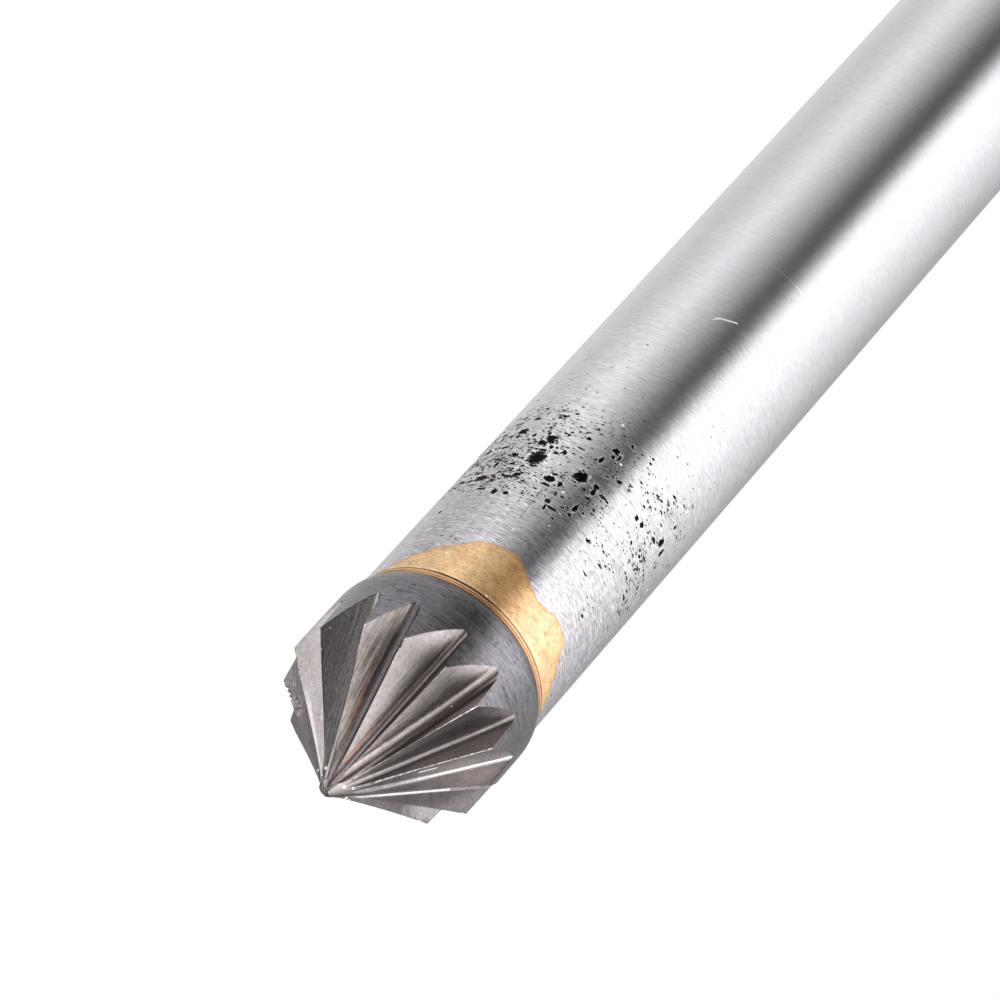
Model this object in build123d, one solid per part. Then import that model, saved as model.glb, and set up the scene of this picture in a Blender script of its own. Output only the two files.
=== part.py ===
from build123d import *
from math import cos, degrees, radians, tan
import os

# Carbide burr with a pointed countersink head. It is one tool made of three pieces: a plain steel
# shank, a tungsten carbide head with straight ground flutes, and the braze that joins them end to end.
#
# The tool stands on the end of its shank. The origin is the middle of that end, +Z runs along the
# axis to the point, and a bearing is an angle round the axis, counted from -Y towards +X.
# Lengths are in millimetres and angles in degrees.

# ---- Driving dimensions: the whole tool ----
overall_length = 38.0

# ---- Driving dimensions: the steel shank ----
shank_diameter = 3.0
shank_chamfer = 0.25  # a 45 degree chamfer round the end that goes into the collet

# ---- Driving dimensions: the braze ----
braze_gap = 0.17  # thickness of the brazed layer between steel and carbide
wash_length = 1.05  # how far the braze has run back along one side of the shank
wash_depth = 0.15  # how thick that wash is at the joint, where the shank was ground flush over it
wash_spread = 140.0  # how much of the shank's circumference it covers at the joint
wash_bearing = 5.0  # the bearing of its middle

# ---- Driving dimensions: the carbide head ----
head_diameter = 3.175
head_length = 2.87  # from the braze to the blunted point
point_angle = 87.0  # included angle of the cone: a ninety degree burr, ground a little keen
point_flat_diameter = 0.10
back_round_length = 0.51  # over this length the back of the head rounds down to the shank's diameter

# ---- Driving dimensions: the flutes ----
flute_count = 15
flute_bearing = 0.9  # the bearing of the first flute's bottom
flute_runout = 0.78  # how far behind the shoulder a flute's sharp bottom would leave the head
flute_root_radius = 0.05  # the ground radius in the bottom of each flute
cutting_face_spread = 3.5  # from a tooth's cutting edge to the bottom of its flute, round the axis
tooth_land = 0.02  # width of the uncut strip along each tooth's edge, at the shoulder

# ---- Sizes that follow ----
shank_radius = shank_diameter / 2
head_radius = head_diameter / 2
point_flat_radius = point_flat_diameter / 2
joint_height = overall_length - head_length - braze_gap
head_base_height = joint_height + braze_gap
cone_slope = tan(radians(point_angle / 2))
shoulder_height = overall_length - (head_radius - point_flat_radius) / cone_slope
flute_pitch = 360 / flute_count
half_land_spread = degrees(tooth_land / head_radius) / 2


def on_tool(radius, bearing, height):
    """A place on the tool: so far from the axis, on this bearing, at this height."""
    return Vector(0, -radius, height).rotate(Axis.Z, bearing)


# ---- The braze and the end of the shank that it covers ----
# The end of the shank was turned to a slight taper, off centre. The braze filled the low side, and the
# whole shank was then ground round, so the wash is a lune between the shank and an off-centre cone.
wash_offset = wash_depth / (1 - cos(radians(wash_spread / 2)))
wash_taper = wash_depth / wash_length
cone_length = 1.5 * wash_length
cone_end_radius = shank_radius + wash_offset - wash_depth
cone_start_radius = cone_end_radius + cone_length * wash_taper

shank_end_band = Location((0, 0, joint_height - cone_length)) * Cylinder(
    shank_radius, cone_length, align=(Align.CENTER, Align.CENTER, Align.MIN)
)
steel_under_wash = Location(on_tool(-wash_offset, wash_bearing, joint_height - cone_length)) * Cone(
    cone_start_radius, cone_end_radius, cone_length, align=(Align.CENTER, Align.CENTER, Align.MIN)
)
wash = shank_end_band - steel_under_wash

brazed_layer = Location((0, 0, joint_height)) * Cylinder(
    shank_radius, braze_gap, align=(Align.CENTER, Align.CENTER, Align.MIN)
)
braze_joint = brazed_layer + wash

# ---- The steel shank ----
shank_blank = Cylinder(shank_radius, joint_height, align=(Align.CENTER, Align.CENTER, Align.MIN))
shank_end_edge = shank_blank.edges().sort_by(Axis.Z)[0]
steel_shank = chamfer(shank_end_edge, shank_chamfer) - wash

# ---- The carbide head before its flutes are ground ----
base_edge = (shank_radius, head_base_height)
round_top = (head_radius, head_base_height + back_round_length)
straight_sides = Polyline(
    round_top,
    (head_radius, shoulder_height),
    (point_flat_radius, overall_length),
    (0, overall_length),
    (0, head_base_height),
    base_edge,
)
back_round = TangentArc(round_top, base_edge, tangent=(0, -1))
head_blank = revolve(Plane.XZ * make_face(straight_sides + back_round), Axis.Z)


# ---- The flutes ----
# A wheel with a V edge grinds each flute in one straight pass. The sharp bottom of the V would run from
# the middle of the point, through the shoulder, and out of the plain cylinder behind it. One side of the
# V leaves the tooth's cutting edge, and the other is the long back of the next tooth.
def flute_cutter():
    """What the wheel sweeps for the flute on bearing zero, long enough to clear the head."""
    point = on_tool(0, 0, overall_length)
    way_out = on_tool(head_radius, 0, shoulder_height - flute_runout)
    along = (way_out - point).normalized()
    across = Plane(origin=point, x_dir=(1, 0, 0), z_dir=along)

    def side_of_v(spread):
        """The direction, in the section across the flute, from its bottom to an edge at the shoulder."""
        edge = across.to_local_coords(on_tool(head_radius, spread, shoulder_height))
        return Vector(edge.X, edge.Y, 0).normalized()

    cutting_side = side_of_v(half_land_spread - cutting_face_spread)
    back_side = side_of_v(flute_pitch - cutting_face_spread - half_land_spread)
    reach = 2 * head_radius
    section = make_face(Polyline((0, 0), cutting_side * reach, back_side * reach, close=True))
    bottom = section.vertices().sort_by_distance((0, 0, 0))[0]
    wheel_section = fillet(bottom, flute_root_radius)
    pass_length = 2 * (way_out - point).length
    return extrude(across * wheel_section, pass_length, dir=along)


cutter = flute_cutter()
first_cutter = cutter.rotate(Axis.Z, flute_bearing)
flutes = [first_cutter.rotate(Axis.Z, number * flute_pitch) for number in range(flute_count)]
carbide_head = head_blank - flutes

# ---- Write one file for each piece ----
pieces = {
    "steel_shank": steel_shank,
    "braze_joint": braze_joint,
    "carbide_head": carbide_head,
}
os.makedirs("parts", exist_ok=True)
for name, piece in pieces.items():
    export_step(piece, f"parts/{name}.step")
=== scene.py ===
# %% [markdown]
# # A brazed carbide burr
# The tool is one rigid piece in three materials: a ground steel shank, a ring of brass coloured
# braze, and a pointed tungsten carbide head with fifteen straight flutes ground into its cone.
# It stands on the end of its shank, with its axis on Z. The frame gives the exact sizes, and every
# piece below is modelled straight into its place there, in metres.

# %% Load the frame
import bpy
import random
from math import acos, atan2, cos, degrees, pi, radians, sin, tan
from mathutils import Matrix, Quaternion, Vector


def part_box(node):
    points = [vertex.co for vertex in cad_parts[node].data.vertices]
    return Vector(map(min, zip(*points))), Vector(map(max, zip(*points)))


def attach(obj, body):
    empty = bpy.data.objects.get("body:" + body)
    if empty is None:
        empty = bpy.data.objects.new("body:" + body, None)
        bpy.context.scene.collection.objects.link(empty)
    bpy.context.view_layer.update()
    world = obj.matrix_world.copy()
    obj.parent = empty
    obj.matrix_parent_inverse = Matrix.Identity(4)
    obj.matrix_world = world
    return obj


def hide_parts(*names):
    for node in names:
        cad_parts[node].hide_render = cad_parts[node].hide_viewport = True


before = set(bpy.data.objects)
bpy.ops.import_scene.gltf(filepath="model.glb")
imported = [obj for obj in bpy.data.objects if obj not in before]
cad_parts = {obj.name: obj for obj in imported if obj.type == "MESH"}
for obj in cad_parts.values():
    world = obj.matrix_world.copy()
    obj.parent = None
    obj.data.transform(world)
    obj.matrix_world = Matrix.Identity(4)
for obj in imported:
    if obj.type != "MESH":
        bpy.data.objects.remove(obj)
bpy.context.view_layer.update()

MM = 0.001
_, shank_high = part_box("steel_shank")
braze_low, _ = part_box("braze_joint")
_, head_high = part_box("carbide_head")

SHANK_RADIUS = shank_high.x
JOINT_HEIGHT = shank_high.z
HEAD_RADIUS = head_high.x
TIP_HEIGHT = head_high.z
print("shank radius", SHANK_RADIUS, "joint", JOINT_HEIGHT, "head", HEAD_RADIUS, "tip", TIP_HEIGHT)

# %% [markdown]
# ## Camera
# A burr is a few millimetres thick, so the camera stands less than ten centimetres from its head,
# with a long macro lens, and its near clipping distance has to shrink to a millimetre. A look
# direction and one roll angle turn it: the roll is what lays the upright tool diagonally across the
# frame, point down.

# %% Set the camera
CAMERA_PLACE = Vector((0, -63.468, 93.206)) * MM
CAMERA_LOOK = Vector((0.0101, 0.7196, -0.6943))
CAMERA_ROLL = -137.683
camera_data = bpy.data.cameras.new("camera")
camera_data.sensor_width = 36
camera_data.lens = 233.611
camera_data.clip_start = 1 * MM
camera_data.clip_end = 10
camera = bpy.data.objects.new("camera", camera_data)
camera.location = CAMERA_PLACE
camera.rotation_mode = "QUATERNION"
roll = Quaternion((0, 0, 1), radians(CAMERA_ROLL))
camera.rotation_quaternion = CAMERA_LOOK.to_track_quat("-Z", "Y") @ roll
bpy.context.scene.collection.objects.link(camera)
bpy.context.scene.camera = camera
bpy.context.scene.view_settings.view_transform = "Standard"
print("camera at", tuple(camera.location))

# %% [markdown]
# ## Shader maths
# Every finish here is worked out from the place on the tool, so the maths gets long. One small class
# wraps a socket and lets ordinary Python expressions add the Math nodes: `1 - mask` makes a node.
# Every other kind of node comes from its one method `node`.

# %% Fill a socket and a ramp
def fill(target, value):
    """Links a Sum to a socket, or sets a plain value on the socket itself."""
    if isinstance(value, Sum):
        value.tree.links.new(value.socket, target)
    else:
        target.default_value = value


def set_stops(ramp, stops):
    """Gives a ramp its stops: (position, grey value)."""
    while len(ramp.elements) < len(stops):
        ramp.elements.new(0.5)
    for element, (position, value) in zip(ramp.elements, stops):
        element.position = position
        element.color = (value, value, value, 1)


def rgba(red, green, blue):
    return (red, green, blue, 1)


# %% A socket that does sums
class Sum:
    """One value in a material's node tree. Arithmetic on it adds Math nodes."""

    def __init__(self, tree, socket):
        self.tree = tree
        self.socket = socket

    def node(self, kind, settings=None, out=0, **sockets):
        """Adds a node, sets it up, fills its named sockets, and gives one of its outputs."""
        made = self.tree.nodes.new(kind)
        for key, value in (settings or {}).items():
            if key == "stops":
                set_stops(made.color_ramp, value)
            else:
                setattr(made, key, value)
        for key, value in sockets.items():
            numbered = key.startswith("in") and key[2:].isdigit()
            fill(made.inputs[int(key[2:]) if numbered else key.replace("_", " ")], value)
        if isinstance(out, tuple):
            return [Sum(self.tree, made.outputs[number]) for number in out]
        return None if out is None else Sum(self.tree, made.outputs[out])

    def math(self, operation, *values):
        slots = {f"in{number}": value for number, value in enumerate(values)}
        return self.node("ShaderNodeMath", {"operation": operation}, **slots)

    def __add__(self, other): return self.math("ADD", self, other)
    def __radd__(self, other): return self.math("ADD", other, self)
    def __sub__(self, other): return self.math("SUBTRACT", self, other)
    def __rsub__(self, other): return self.math("SUBTRACT", other, self)
    def __mul__(self, other): return self.math("MULTIPLY", self, other)
    def __rmul__(self, other): return self.math("MULTIPLY", other, self)
    def __truediv__(self, other): return self.math("DIVIDE", self, other)
    def __rtruediv__(self, other): return self.math("DIVIDE", other, self)
    def __neg__(self): return self.math("MULTIPLY", self, -1.0)
    def __abs__(self): return self.math("ABSOLUTE", self)
    def floor(self): return self.math("FLOOR", self)
    def sin(self): return self.math("SINE", self)
    def power(self, exponent): return self.math("POWER", self, exponent)
    def least(self, other): return self.math("MINIMUM", self, other)
    def most(self, other): return self.math("MAXIMUM", self, other)

    def step(self, start, end, low=0.0, high=1.0):
        """Runs smoothly from low to high while this value goes from start to end."""
        if start > end:
            start, end, low, high = end, start, high, low
        ends = {"From_Min": start, "From_Max": end, "To_Min": low, "To_Max": high}
        smooth = {"interpolation_type": "SMOOTHSTEP"}
        return self.node("ShaderNodeMapRange", smooth, Value=self, **ends)

    def near(self, middle, reach, full=0.0):
        """Nothing further away from the middle than reach, and one nearer to it than full."""
        return abs(self - middle).step(reach, full)

    def around(self, levels, full=1.0, first=-180.0, last=180.0):
        """With this bearing, the level between the nearest two (bearing, level) pairs."""
        stops = [((bearing - first) / (last - first), level / full) for bearing, level in levels]
        share = (self - first) / (last - first)
        return share.node("ShaderNodeValToRGB", {"stops": stops}, Fac=share) * full

    def noise(self, detail=2.0, roughness=0.5):
        """Smooth noise between 0 and 1, with this vector as the place."""
        values = {"Scale": 1.0, "Detail": detail, "Roughness": roughness}
        return self.node("ShaderNodeTexNoise", Vector=self, **values)

    def separate(self):
        """The three numbers in this vector or colour."""
        return self.node("ShaderNodeSeparateXYZ", out=(0, 1, 2), Vector=self)

    def choose(self, colour, other):
        """The first colour where this mask is 0, and the other where it is 1."""
        kind = {"data_type": "RGBA"}
        return self.node("ShaderNodeMix", kind, out=2, in0=self, in6=colour, in7=other)

    def scaled(self, factor):
        """This colour or vector, times a number."""
        return self.node("ShaderNodeVectorMath", {"operation": "SCALE"}, in0=self, Scale=factor)

    def tinting(self, colour):
        """A plain colour, times this number."""
        kind = {"operation": "SCALE"}
        return self.node("ShaderNodeVectorMath", kind, in0=colour[:3], Scale=self)

    def distance_to(self, place):
        """How far this place is from another."""
        kind = {"operation": "DISTANCE"}
        return self.node("ShaderNodeVectorMath", kind, out=1, in0=self, in1=place)


# %% [markdown]
# ## Where a point is on the tool
# The finishes follow the tool's own directions: the bearing round the axis, the height above the
# joint, and the distance from the axis. All three come from Object coordinates, in millimetres.
# Noise and spots are then given as so many to the millimetre, round the tool and along it.

# %% Start a material with the tool's own directions
MM_PER_DEGREE = radians(SHANK_RADIUS / MM)


class Finish:
    """A metal material, with the bearing, height and radius of the shaded point."""

    def __init__(self, name):
        self.material = bpy.data.materials.new(name)
        self.material.use_nodes = True
        self.tree = self.material.node_tree
        self.shader = self.tree.nodes["Principled BSDF"]
        metres = Sum(self.tree, self.tree.nodes.new("ShaderNodeTexCoord").outputs["Object"])
        self.place = metres.scaled(1 / MM)
        self.x, self.y, self.z = self.place.separate()
        self.height = self.z - JOINT_HEIGHT / MM
        self.bearing = self.x.math("ARCTAN2", self.x, -self.y) * degrees(1)
        self.arc = self.bearing * MM_PER_DEGREE
        self.radius = (self.x * self.x + self.y * self.y).power(0.5)

    def vector(self, x, y, z):
        return self.x.node("ShaderNodeCombineXYZ", X=x, Y=y, Z=z)

    def round_noise(self, around, along, detail=2.0, roughness=0.5, shift=0.0):
        """Noise with its own scale round the tool and along it, without a seam."""
        spot = self.vector(self.x * around, self.y * around, self.height * along + shift)
        return spot.noise(detail, roughness)

    def scattered(self, around, along, crowd, small, large, ragged=0.0, shift=0.0):
        """Spots in a grid of random cells: crowd is the share of cells that have one."""
        cells = self.vector(self.arc * around + shift, self.height * along, 0.0)
        flat = {"voronoi_dimensions": "2D"}
        distance, luck = cells.node(
            "ShaderNodeTexVoronoi", flat, out=(0, 1), Vector=cells, Scale=1.0
        )
        chance, size, _ = luck.separate()
        kept = (crowd - chance).step(0.0, 0.003)
        return kept * (size * (large - small) + small - distance + ragged).step(-0.05, 0.05)

    def from_blot(self, places, ragged):
        """How far this is from the nearest blot, as a share of its size: one on its edge.

        A place is a bearing, a height, half the blot's width in degrees, and half its height."""
        nearest = None
        for bearing, height, half_width, half_height in places:
            across = (self.bearing - bearing) / half_width
            along = (self.height - height) / half_height
            spread = across * across + along * along
            nearest = spread if nearest is None else nearest.least(spread)
        return nearest.power(0.5) + ragged

    def streak(self, start, end, half_width):
        """A thin straight mark between two (bearing, height) places, half_width millimetres wide."""
        first = Vector((start[0] * MM_PER_DEGREE, start[1]))
        run = Vector((end[0] * MM_PER_DEGREE, end[1])) - first
        length = run.length
        run.normalize()
        off_arc = self.arc - first.x
        off_height = self.height - first.y
        along = off_arc * run.x + off_height * run.y
        across = abs(off_arc * run.y - off_height * run.x)
        begun = along.step(-half_width, half_width)
        going_on = along.step(length + half_width, length - half_width)
        return begun * going_on * across.step(half_width * 1.3, half_width * 0.5)

    def gap_to(self, first, last):
        """Distance from the straight line between two (x, y, height above the joint) places."""
        start = Vector((first[0], first[1], first[2] + JOINT_HEIGHT / MM))
        run = Vector(last) - Vector(first)
        kind = "ShaderNodeVectorMath"
        off = self.place.node(kind, {"operation": "SUBTRACT"}, in0=self.place, in1=start)
        dot = off.node(kind, {"operation": "DOT_PRODUCT"}, out=1, in0=off, in1=run)
        share = (dot / run.length_squared).most(0.0).least(1.0)
        foot = share.node(kind, {"operation": "SCALE"}, in0=run, Scale=share)
        return off.distance_to(foot)

    def set(self, **sockets):
        for key, value in sockets.items():
            fill(self.shader.inputs[key.replace("_", " ")], value)

    def bump(self, relief, depth):
        """Raises the surface by depth millimetres where relief is 1."""
        bumped = relief.node("ShaderNodeBump", Height=relief, Distance=depth * MM, Strength=1.0)
        self.set(Normal=bumped)


# %% [markdown]
# ## The shank and braze finish
# One material covers both the shank and the braze. The braze was ground off flush with the steel, so
# its ragged edge is a change of metal and not a step. A ramp gives how far the braze has run down the
# shank on each bearing, two scales of noise fray that edge, and one mask then parts the two metals.

# %% Edge of the braze
BRAZE_REACH = [
    (-75, -0.1), (-62, 0.25), (-55, 0.40), (-50, 0.50), (-42, 0.77), (-35, 0.82), (-28, 0.80),
    (-15, 0.68), (-5, 0.80), (3, 0.95), (7, 1.05), (12, 1.0), (25, 0.95), (30, 0.85), (37, 0.70),
    (45, 0.60), (50, 0.45), (65, 0.2), (80, -0.1),
]
LIFT = 0.1  # a ramp holds nothing below zero, so its levels are lifted and its result is lowered

steel = Finish("ground_steel_and_braze")
lifted_reach = [(bearing, reach + LIFT) for bearing, reach in BRAZE_REACH]
reach = steel.bearing.around(lifted_reach, first=-75.0, last=80.0) - LIFT
ragged = (steel.round_noise(4.0, 6.0, detail=5.0, roughness=0.7) - 0.5) * 0.16
frayed = (steel.round_noise(18.0, 24.0, detail=3.0, roughness=0.7, shift=6.0) - 0.5) * 0.10
inside_edge = steel.height + reach + ragged + frayed
braze = inside_edge.step(-0.010, 0.010)
fringe = inside_edge.step(0.07, 0.0)
plain_steel = 1 - braze
print("the braze runs", max(level for _, level in BRAZE_REACH), "mm down the shank")

# %% [markdown]
# ### Large rust pits
# Rust ate a band of pits into the steel just behind the joint. Each large pit is a blot at its own
# place, with fine noise added to its distance so that its outline is ragged. A few are red with rust
# inside, and the steel round a pit is painted brighter, as a painted highlight on its rim.

# %% Place the large pits
LARGE_PITS = [
    (10.8, -2.90, 4.0, 0.13), (36.5, -2.87, 4.6, 0.16), (22.3, -2.56, 2.7, 0.08),
    (-4.5, -2.86, 3.2, 0.035), (0.5, -2.80, 1.5, 0.08), (1.3, -2.92, 2.3, 0.05),
    (38.0, -3.35, 3.0, 0.08), (40.5, -3.22, 2.5, 0.06), (41.0, -3.45, 1.0, 0.05),
    (58.0, -3.48, 3.5, 0.08), (57.5, -2.28, 4.2, 0.08), (51.5, -2.00, 3.2, 0.03),
    (42.5, -1.97, 1.8, 0.07), (36.0, -1.99, 1.6, 0.04), (10.5, -2.09, 4.5, 0.025),
    (14.3, -2.03, 0.9, 0.06), (15.2, -2.17, 1.7, 0.05), (2.0, -2.35, 1.5, 0.08),
    (-2.8, -2.38, 1.4, 0.025), (2.2, -2.20, 1.3, 0.035), (16.2, -2.56, 1.3, 0.06),
    (5.5, -3.68, 2.2, 0.06), (2.0, -3.62, 0.9, 0.08), (5.0, -3.56, 1.4, 0.04),
    (8.7, -3.37, 1.3, 0.08), (-48.5, -3.45, 2.4, 0.10), (-43.2, -3.29, 2.4, 0.04),
    (-54.0, -3.42, 1.4, 0.09), (-25.8, -3.14, 1.5, 0.05), (-30.6, -3.16, 1.5, 0.05),
    (39.0, -2.43, 1.9, 0.04), (44.5, -2.36, 2.4, 0.025), (45.5, -2.65, 2.8, 0.03),
    (49.0, -2.86, 1.8, 0.05), (72.0, -3.06, 2.4, 0.06), (71.5, -2.28, 2.2, 0.05),
    (61.0, -3.08, 3.4, 0.03), (55.5, -2.62, 1.2, 0.08), (34.0, -3.17, 1.4, 0.04),
    (26.0, -3.16, 1.5, 0.05), (20.5, -3.37, 2.8, 0.02), (48.5, -3.37, 1.3, 0.05),
    (65.5, -1.48, 1.3, 0.03), (66.0, -3.88, 1.3, 0.05), (-24.5, -1.70, 2.1, 0.018),
    (-40.3, -1.30, 1.5, 0.03), (-48.8, -3.84, 0.9, 0.05), (-43.0, -2.88, 1.4, 0.03),
]
RED_PITS = [
    (57.5, -2.28, 4.6, 0.10), (-3.5, -2.84, 3.5, 0.05), (15.2, -2.17, 1.9, 0.06),
    (-41.5, -1.38, 1.1, 0.07),
]
ragged_edge = steel.round_noise(24.0, 34.0, detail=4.0, roughness=0.75) - 0.5
from_pit = steel.from_blot(LARGE_PITS, ragged_edge * 2.4 + 0.08)
large_pits = from_pit.step(1.12, 0.88)
red = steel.from_blot(RED_PITS, ragged_edge).step(1.12, 0.88)
print("large rust pits", len(LARGE_PITS), "red ones", len(RED_PITS))

# %% [markdown]
# ### Small rust pits
# The many small pits are scattered by a grid of random cells in three sizes. How many of the cells
# hold a pit is a product of masks: the band's two ends, a ramp round the shank, and soft clumps.

# %% Scatter the small pits
CROWD_AROUND = [
    (-72, 0.0), (-57, 0.45), (-36, 0.40), (-20, 0.12), (-7, 0.35), (11, 0.5), (29, 0.7), (61, 1.0),
    (90, 0.6), (122, 0.0),
]
rusty_band = steel.height.step(-4.5, -3.4) * steel.height.step(-1.8, -2.3)
near_joint = steel.height.step(-7.0, -3.0)
clumps = steel.round_noise(1.6, 2.2, detail=2.0, shift=4.0).step(0.34, 0.60)
pitted = rusty_band * steel.bearing.around(CROWD_AROUND) * clumps
stray = near_joint * 0.03
coarse_pits = steel.scattered(5.5, 9.5, pitted * 0.70, 0.06, 0.34, ragged_edge * 1.5)
small_pits = steel.scattered(12.0, 19.0, pitted * 0.8, 0.12, 0.42, ragged_edge * 0.9, 3.7)
fine_pits = steel.scattered(21.0, 30.0, pitted * 0.55 + stray, 0.10, 0.38, ragged_edge * 0.9, 6.1)
pits = large_pits.most(coarse_pits).most(small_pits).most(fine_pits) * plain_steel
# The steel round each large pit is painted brighter: a painted highlight on the pit's rim.
pit_rim_highlights = from_pit.step(1.65, 1.25) * (1 - pits)
print("steel so far has", len(steel.tree.nodes), "nodes")

# %% [markdown]
# ### Grinding lines
# The grinding wheel left fine lines round the shank. They are short near the joint, where the steel
# was run dry, and finer and straighter further back. Each line catches light or loses it, so the lines
# go into the colour and the roughness as well as the relief.

# %% Lines round the shank
lines = steel.round_noise(4.0, 34.0, detail=5.0, roughness=0.72)
hairs = steel.round_noise(9.0, 60.0, detail=2.0, roughness=0.6, shift=2.0)
cloud = steel.round_noise(0.9, 0.7, detail=3.0, roughness=0.6, shift=7.0)
coarse = steel.height.step(-9.5, -2.5, 0.35, 1.0)
line_depth = ((lines - 0.5) * 1.15 + (hairs - 0.5) * 1.0) * coarse
line_shade = 1 + line_depth * (1 - braze * 0.5)
print("the grinding lines are strongest above", JOINT_HEIGHT - 2.5 * MM)

# %% [markdown]
# ### The dull end of the shank
# Beside the joint the ground steel is duller, and rubbed into short dark and light dashes. They are
# spots like the small pits, drawn out round the shank: few cells round it, and many along it. One
# clear ring, left where the wheel stopped, crosses the front of the shank further down.

# %% Dull steel, dashes and a ring
DULL_AROUND = [
    (-60, 0.9), (-35, 0.9), (-10, 1.0), (22, 1.0), (36, 0.70), (50, 0.73), (62, 0.83), (90, 0.85),
]
RING_HEIGHT = -8.5
dull = steel.height.step(-5.0, -1.5) * plain_steel
dimmed = dull * (1 - steel.bearing.around(DULL_AROUND))
dark_dashes = steel.scattered(7.0, 42.0, dull * 0.60, 0.10, 0.45, ragged_edge * 0.5, 12.3)
light_dashes = steel.scattered(6.0, 38.0, dull * 0.45, 0.10, 0.42, ragged_edge * 0.5, 15.7)
line_shade = line_shade * (1 - dimmed) * (1 - dark_dashes * 0.38) * (1 + light_dashes * 0.35)
in_front = steel.bearing.step(-16, -9) * steel.bearing.step(12, 3)
ring_line = steel.height.near(RING_HEIGHT, 0.03) * in_front
# Round each pit the steel also gets its painted rim highlight.
line_shade = line_shade * (1 + ring_line * 0.3) * (1 + pit_rim_highlights * 0.35)
print("the ring is", -RING_HEIGHT, "mm below the joint")

# %% [markdown]
# ### Scratches and dust
# A scratch runs a short way down the shank. A white fibre of two straight strands lies across it, with
# a few grains of dust. Dust isn't metal, so it is also taken out of Metallic when the finish is set.

# %% Scratch, fibre and dust
scratch = steel.streak((20.2, -1.62), (21.6, -2.33), 0.008)
fibre = steel.streak((3.0, -7.13), (14.0, -6.97), 0.012)
fibre = fibre.most(steel.streak((11.5, -7.02), (14.5, -6.90), 0.009))
grains_of_dust = near_joint * 0.05 + 0.006
dust = steel.scattered(6.0, 6.5, grains_of_dust, 0.06, 0.14, ragged_edge * 0.2, 9.1)
dusty = dust.most(fibre)
print("steel so far has", len(steel.tree.nodes), "nodes")

# %% [markdown]
# ### Tarnished braze
# Braze is a copper alloy: brassy where it was ground clean, brown where it is tarnished, redder in
# front, and copper coloured beside the carbide and along its thin outer edge. Each is one colour laid
# over the last by a mask, as a painter would glaze them.

# %% Colours of the braze
BRASS = rgba(0.90, 0.63, 0.35)
PALE_BRASS = rgba(0.93, 0.74, 0.50)
TARNISH = rgba(0.62, 0.37, 0.17)
RED_BRASS = rgba(0.95, 0.54, 0.23)
RED_TARNISH = rgba(0.62, 0.31, 0.12)
DARK_GRAIN = rgba(0.42, 0.22, 0.10)
COPPERY = rgba(0.82, 0.44, 0.22)
FRINGE = rgba(0.62, 0.31, 0.13)
tarnish = steel.round_noise(5.0, 6.5, detail=6.0, roughness=0.85, shift=3.0).step(0.44, 0.64)
grains = steel.round_noise(16.0, 18.0, detail=4.0, roughness=0.8, shift=1.0)
pale_side = steel.bearing.near(-26.0, 24.0) * 0.5
warm_front = steel.bearing.near(1.0, 20.0) * 0.8
by_the_head = steel.height.step(-0.06, -0.03) * 0.65
braze_paint = pale_side.choose(BRASS, PALE_BRASS)
braze_paint = (tarnish * 0.8).choose(braze_paint, TARNISH)
braze_paint = warm_front.choose(braze_paint, tarnish.choose(RED_BRASS, RED_TARNISH))
braze_paint = grains.step(0.54, 0.72).choose(braze_paint, DARK_GRAIN)
braze_paint = by_the_head.choose(braze_paint, COPPERY)
braze_paint = (fringe * 0.7).choose(braze_paint, FRINGE)
print("steel so far has", len(steel.tree.nodes), "nodes")

# %% [markdown]
# ### Turned lines in the joint
# The joint was trimmed on a lathe after brazing, which left three fine dark lines round it, a deeper
# gap on one side and a bright line below them. Broken by the braze's own grain, they look cut by hand
# and not printed. Painted light and shade then makes the ring lighter and darker round it, mottled by
# the grain.

# %% Lines and tone of the joint
TURNED_BROWN = rgba(0.12, 0.06, 0.04)
GAP_DARK = rgba(0.045, 0.025, 0.02)
BRIGHT_BRASS = rgba(1.0, 0.80, 0.52)
# Painted light and shade round the braze ring: a bearing and its brightness.
BRAZE_PAINTED_LIGHT = [
    (-60, 0.9), (-36, 0.98), (-14, 1.0), (-4, 1.12), (6, 1.35), (17, 1.48), (26, 1.05), (33, 0.80),
    (42, 0.76), (50, 0.88), (58, 1.0), (90, 0.9),
]
turned_marks = steel.height.near(-0.045, 0.016, 0.005)
turned_marks = turned_marks.most(steel.height.near(0.010, 0.012, 0.003) * 0.8)
turned_marks = turned_marks.most(steel.height.near(0.055, 0.016, 0.006)) * (0.55 + grains)
gap_side = steel.bearing.step(-6, 6) * steel.bearing.step(42, 30)
gap_mark = steel.height.near(-0.042, 0.026, 0.012) * gap_side * (0.4 + grains)
light_mark = steel.height.near(-0.082, 0.016, 0.006) * grains.step(0.35, 0.55)
braze_paint = (turned_marks * 0.85).least(0.95).choose(braze_paint, TURNED_BROWN)
braze_paint = gap_mark.least(0.95).choose(braze_paint, GAP_DARK)
braze_paint = (light_mark * 0.6).choose(braze_paint, BRIGHT_BRASS)
# Painted light and shade round the ring, times the braze's own grain.
braze_light_and_grain = steel.bearing.around(BRAZE_PAINTED_LIGHT, 1.5) * (1 + (grains - 0.5) * 1.4)
braze_paint = braze_paint.scaled(braze_light_and_grain.least(1.1))
print("steel so far has", len(steel.tree.nodes), "nodes")

# %% [markdown]
# ### Steel and braze together
# The layers are put on in the order in which they lie on the real bar: the metal with its grinding
# lines, then the scratch, the pits, and the dust on top. Lines ground round a bar stretch a highlight
# along it, which is what the shader's anisotropy is for.

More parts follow.
